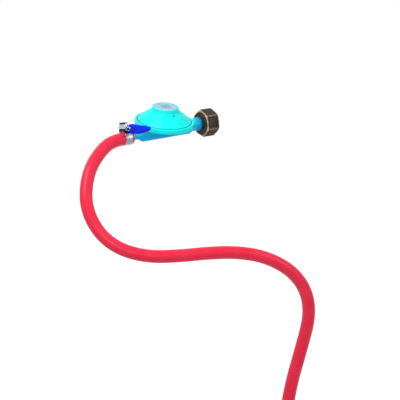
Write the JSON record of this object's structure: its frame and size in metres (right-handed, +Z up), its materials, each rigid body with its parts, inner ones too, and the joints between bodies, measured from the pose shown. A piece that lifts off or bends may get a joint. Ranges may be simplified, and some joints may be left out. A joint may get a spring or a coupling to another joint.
{
  "type": "gas regulator",
  "caption": "Low-pressure gas regulator with a round diaphragm housing, hexagon union nut, red hose and two thumb-key hose clamps.",
  "frame": {"origin": "centre of the inlet union nut's mouth", "axes": "+X out of the nut's mouth along the inlet axis, +Z up along the diaphragm's axis towards the cap, hose leaving towards -X"},
  "size_m": [0.2373, 0.2348, 0.5679],
  "materials": {
    "cyan_paint": "gloss",
    "label_grey": "gloss",
    "white_plastic": "satin",
    "spring_steel": "satin",
    "black_rubber": "matte",
    "aluminium": "satin",
    "brass": "satin",
    "aged_brass": "worn",
    "zinc_plate": "polished",
    "blue_plastic": "gloss",
    "red_rubber": "satin",
    "bronze_mesh": "matte"
  },
  "bodies": {
    "regulator": {"body_casting": "cyan_paint", "cover": "cyan_paint", "diaphragm": "black_rubber", "regulating_spring": "spring_steel", "lever_pin": "spring_steel", "inlet_nozzle": "brass", "inlet_stem": "brass", "inlet_seal": "black_rubber", "inlet_filter": "bronze_mesh", "outlet_tail": "cyan_paint", "hose": "red_rubber", "clamp_band": "zinc_plate", "clamp_housing": "zinc_plate", "end_clamp_band": "zinc_plate", "end_clamp_housing": "zinc_plate", "end_tail": "brass", "end_seal": "black_rubber"},
    "union_nut": {"union_nut": "aged_brass"},
    "cap": {"label_cap": "label_grey"},
    "adjuster": {"adjusting_screw": "white_plastic"},
    "diaphragm_set": {"diaphragm_plate": "aluminium", "diaphragm_stem": "aluminium", "stem_nut": "brass"},
    "lever": {"lever": "spring_steel"},
    "valve": {"pad_holder": "brass", "valve_pad": "black_rubber"},
    "clamp_key": {"clamp_screw": "zinc_plate", "clamp_key": "blue_plastic"},
    "end_clamp_key": {"end_clamp_screw": "zinc_plate", "end_clamp_key": "blue_plastic"},
    "end_nut": {"end_nut": "brass"}
  },
  "joints": [
    {"name": "union_nut_spin", "type": "hinge", "parent": "regulator", "child": "union_nut", "pos_m": [-0.0092, 0, 0], "axis": [1, 0, 0], "continuous": true},
    {"name": "cap_lift", "type": "slide", "parent": "regulator", "child": "cap", "axis": [0, 0, 1], "range_m": [0, 0.012]},
    {"name": "adjuster_turn", "type": "hinge", "parent": "regulator", "child": "adjuster", "pos_m": [-0.068, 0, 0.022], "axis": [0, 0, 1], "range_deg": [-540, 540]},
    {"name": "diaphragm_travel", "type": "slide", "parent": "regulator", "child": "diaphragm_set", "axis": [0, 0, 1], "range_m": [-0.0006, 0.0009], "stiffness_N_per_m": 1650, "deforming": ["regulating_spring", "diaphragm"]},
    {"name": "lever_pivot", "type": "hinge", "parent": "regulator", "child": "lever", "pos_m": [-0.06, 0, -0.0044], "axis": [0, 1, 0], "range_deg": [-4.5, 6.6]},
    {"name": "valve_travel", "type": "slide", "parent": "regulator", "child": "valve", "axis": [1, 0, 0], "range_m": [-0.00035, 0.0005]},
    {"name": "clamp_screw_turn", "type": "hinge", "parent": "regulator", "child": "clamp_key", "pos_m": [-0.1196, 0.00412, 0.00796], "axis": [0, -0.9455, 0.3256], "continuous": true},
    {"name": "end_clamp_screw_turn", "type": "hinge", "parent": "regulator", "child": "end_clamp_key", "pos_m": [0.006, -0.19665, -0.5098], "axis": [-1, 0, 0], "continuous": true},
    {"name": "end_nut_spin", "type": "hinge", "parent": "regulator", "child": "end_nut", "pos_m": [0.006, -0.184, -0.5338], "axis": [0, 0, -1], "continuous": true}
  ],
  "couplings": [
    {"joint": "lever_pivot", "follows": "diaphragm_travel", "rad_per_m": 125},
    {"joint": "valve_travel", "follows": "diaphragm_travel", "ratio": 0.55}
  ]
}
